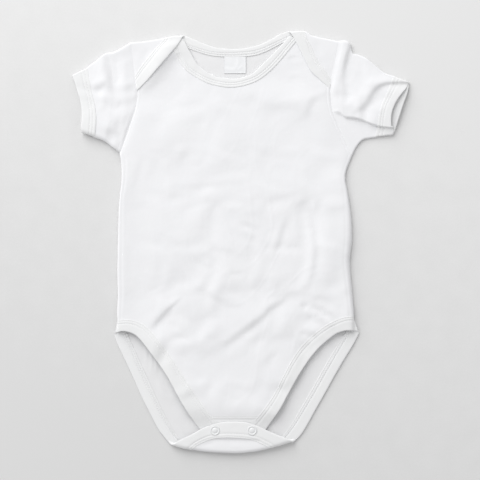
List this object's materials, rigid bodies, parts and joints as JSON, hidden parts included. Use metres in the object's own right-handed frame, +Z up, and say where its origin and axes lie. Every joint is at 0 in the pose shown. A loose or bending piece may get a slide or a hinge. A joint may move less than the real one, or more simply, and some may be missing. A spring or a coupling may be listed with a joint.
{
  "type": "baby bodysuit",
  "caption": "Short-sleeve cotton baby bodysuit with lap shoulders, bound edges and a crotch tab closed with press studs, laid flat.",
  "frame": {"origin": "on the underside of the back panel, on the garment's centre line, halfway between shoulders and crotch", "axes": "+Y to the neck, +X to the viewer's right seen from above, +Z up out of the surface that it lies on"},
  "size_m": [0.331, 0.4083, 0.0089],
  "materials": {
    "jersey": "white cotton interlock, matt",
    "binding": "white cotton rib binding, matt",
    "label": "white satin tape, soft sheen",
    "snap": "white enamel, satin"
  },
  "bodies": {
    "root": {"front_panel": "jersey", "back_panel": "jersey", "sleeve_left": "jersey", "sleeve_right": "jersey", "cuff_left": "binding", "cuff_right": "binding", "neck_binding_front": "binding", "neck_binding_back": "binding", "leg_binding_front_left": "binding", "leg_binding_front_right": "binding", "leg_binding_back_left": "binding", "leg_binding_back_right": "binding", "crotch_binding_front": "binding", "crotch_binding_back": "binding", "neck_label": "label", "snap_cap_left": "snap", "snap_cap_right": "snap", "snap_socket_left": "snap", "snap_socket_right": "snap"}
  },
  "joints": []
}
